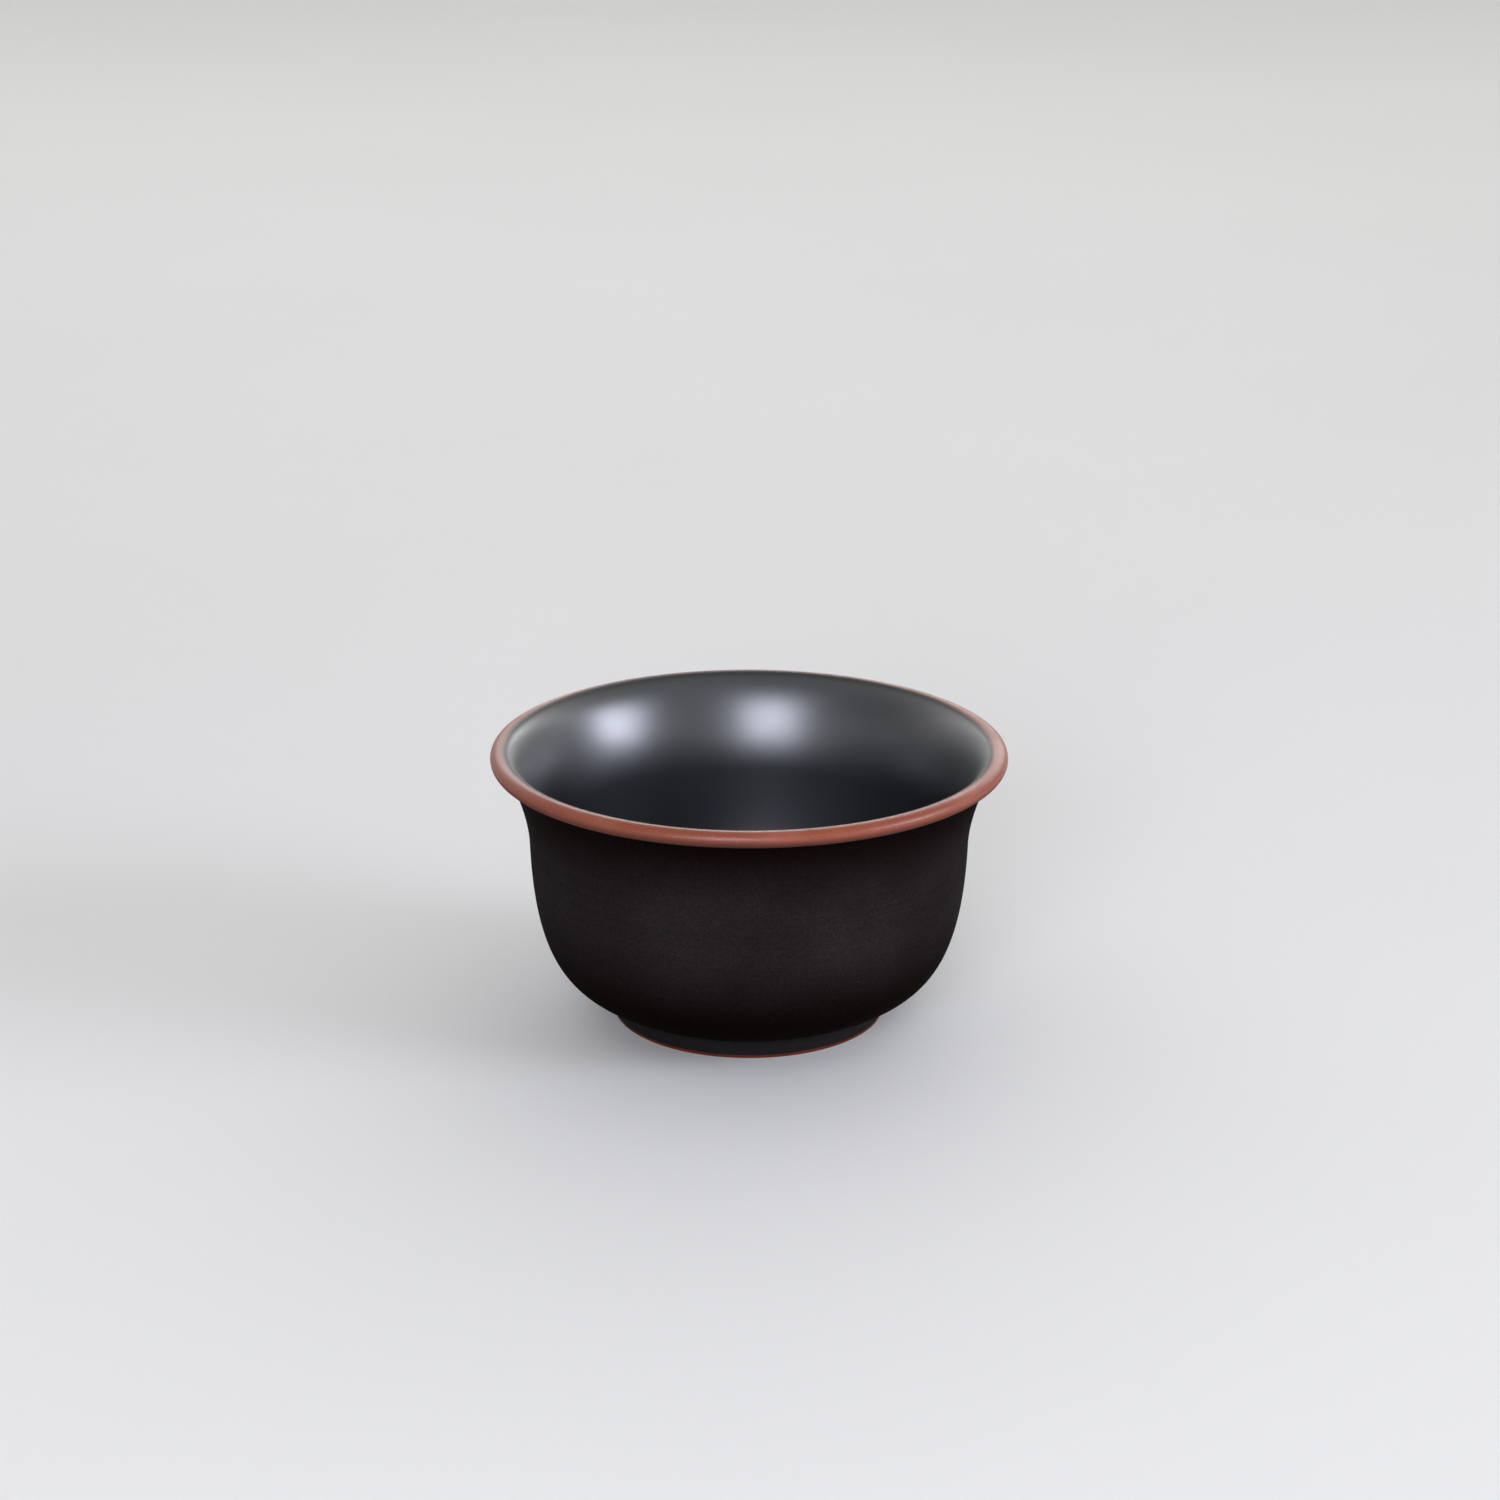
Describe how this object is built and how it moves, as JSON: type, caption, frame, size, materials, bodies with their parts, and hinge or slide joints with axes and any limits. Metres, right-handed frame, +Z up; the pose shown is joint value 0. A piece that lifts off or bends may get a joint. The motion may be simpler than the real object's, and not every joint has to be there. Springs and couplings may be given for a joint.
{
  "type": "tea cup",
  "caption": "Small handleless pottery tea cup, dark fired, with a rolled bare-clay lip on a flared mouth, a rounded belly and a low foot ring.",
  "frame": {"origin": "on the cup's axis, in the plane of the foot ring's standing face", "axes": "+Z up along the cup's axis, out of the mouth; the cup is round, so X and Y are any two level directions"},
  "size_m": [0.07, 0.07, 0.038],
  "materials": {
    "dark_clay": "kiln-darkened unglazed clay, burnished to a soft sheen",
    "bare_clay": "red-brown clay rubbed bare, satin",
    "foot_clay": "kiln-darkened unglazed clay, with a bare red-brown standing edge"
  },
  "bodies": {
    "root": {"base_disc": "dark_clay", "cup_wall": "dark_clay", "lip_roll": "bare_clay", "foot_ring": "foot_clay"}
  },
  "joints": []
}
